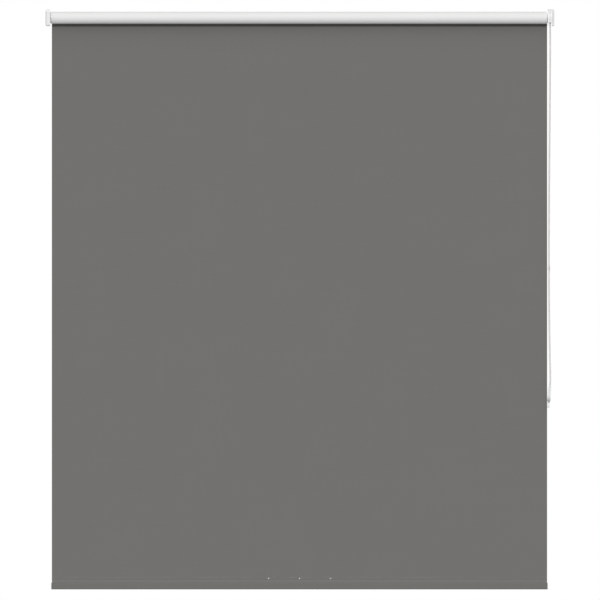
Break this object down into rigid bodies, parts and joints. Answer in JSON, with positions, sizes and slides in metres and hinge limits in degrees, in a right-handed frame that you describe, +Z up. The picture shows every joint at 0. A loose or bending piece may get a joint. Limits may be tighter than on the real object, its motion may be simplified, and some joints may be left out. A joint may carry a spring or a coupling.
{
  "type": "roller blind",
  "caption": "Wall-mounted roller blind: tube in two bracket cheeks, grey sheet with weighted hem, bead-chain clutch with guard and hanging chain tensioner.",
  "frame": {"origin": "on the wall plane, halfway between the brackets and level with the roller's axis", "axes": "+X along the roller towards the chain side, +Z up, +Y back into the wall"},
  "size_m": [1.3, 0.048, 1.4821],
  "materials": {
    "white_plastic": "satin white moulded plastic",
    "white_acetal": "smooth off-white acetal",
    "grey_plastic": "satin grey moulded plastic",
    "white_steel": "white powder coat on pressed steel",
    "bright_steel": "zinc-plated steel and spring wire",
    "aluminium": "mill-finish extruded aluminium",
    "grey_fabric": "fine plain-weave polyester, mid grey, coated on the back",
    "white_fabric_back": "white blackout coating on the back of the cloth"
  },
  "bodies": {
    "root": {"idle_bracket": "white_steel", "drive_bracket": "white_steel", "idle_bracket_cover": "white_plastic", "drive_bracket_cover": "white_plastic", "chain_guard_inner": "white_plastic", "chain_guard_outer": "white_plastic", "clutch_spindle": "grey_plastic", "spindle_clip": "bright_steel", "wrap_spring_a": "bright_steel", "wrap_spring_b": "bright_steel"},
    "roller": {"roller_tube": "aluminium", "fabric_spline": "grey_plastic", "fabric_roll": "white_fabric_back", "idle_plug": "white_acetal", "idle_plug_cap": "white_acetal", "idle_pin_spring": "bright_steel", "clutch_drum": "white_acetal"},
    "idle_pin": {"idle_pin": "bright_steel"},
    "chain_wheel": {"chain_wheel": "white_acetal"},
    "chain_loop": {"bead_chain": "white_acetal", "chain_connector": "white_acetal", "tensioner_case_inner": "white_plastic", "tensioner_case_outer": "white_plastic", "tensioner_axle": "bright_steel"},
    "tensioner_pulley": {"tensioner_pulley": "white_acetal"},
    "hanging_fabric": {"fabric_sheet": "grey_fabric"},
    "hem": {"hem_pocket": "grey_fabric", "bottom_bar": "aluminium", "bottom_bar_cap_left": "grey_plastic", "bottom_bar_cap_right": "grey_plastic", "hem_rivet_1": "white_acetal", "hem_rivet_2": "white_acetal", "hem_rivet_3": "white_acetal"}
  },
  "joints": [
    {"name": "roller_turn", "type": "hinge", "parent": "root", "child": "roller", "pos_m": [0, -0.026, 0], "axis": [1, 0, 0], "range_deg": [0, 5040]},
    {"name": "chain_wheel_turn", "type": "hinge", "parent": "root", "child": "chain_wheel", "pos_m": [0.63925, -0.026, 0], "axis": [1, 0, 0], "range_deg": [0, 5080]},
    {"name": "pin_slide", "type": "slide", "parent": "roller", "child": "idle_pin", "axis": [1, 0, 0], "range_m": [0, 0.008], "stiffness_N_per_m": 900, "springref_m": -0.006, "deforming": ["idle_pin_spring"]},
    {"name": "chain_swing", "type": "hinge", "parent": "root", "child": "chain_loop", "pos_m": [0.63925, -0.026, 0], "axis": [1, 0, 0], "range_deg": [-14, 0.7]},
    {"name": "pulley_turn", "type": "hinge", "parent": "chain_loop", "child": "tensioner_pulley", "pos_m": [0.6369, -0.026, -0.966], "axis": [0.9976, 0, -0.0698], "range_deg": [0, 7560]},
    {"name": "fabric_swing", "type": "hinge", "parent": "root", "child": "hanging_fabric", "pos_m": [-0.00095, -0.00989, 0], "axis": [1, 0, 0], "range_deg": [-8, 0.2]},
    {"name": "hem_lift", "type": "slide", "parent": "hanging_fabric", "child": "hem", "axis": [0, 0, 1], "range_m": [0, 1.4], "deforming": ["fabric_sheet"]}
  ],
  "couplings": [
    {"joint": "hem_lift", "follows": "roller_turn", "m_per_rad": 0.0158},
    {"joint": "chain_wheel_turn", "follows": "roller_turn", "ratio": 1},
    {"joint": "pulley_turn", "follows": "roller_turn", "ratio": 1.4889}
  ]
}
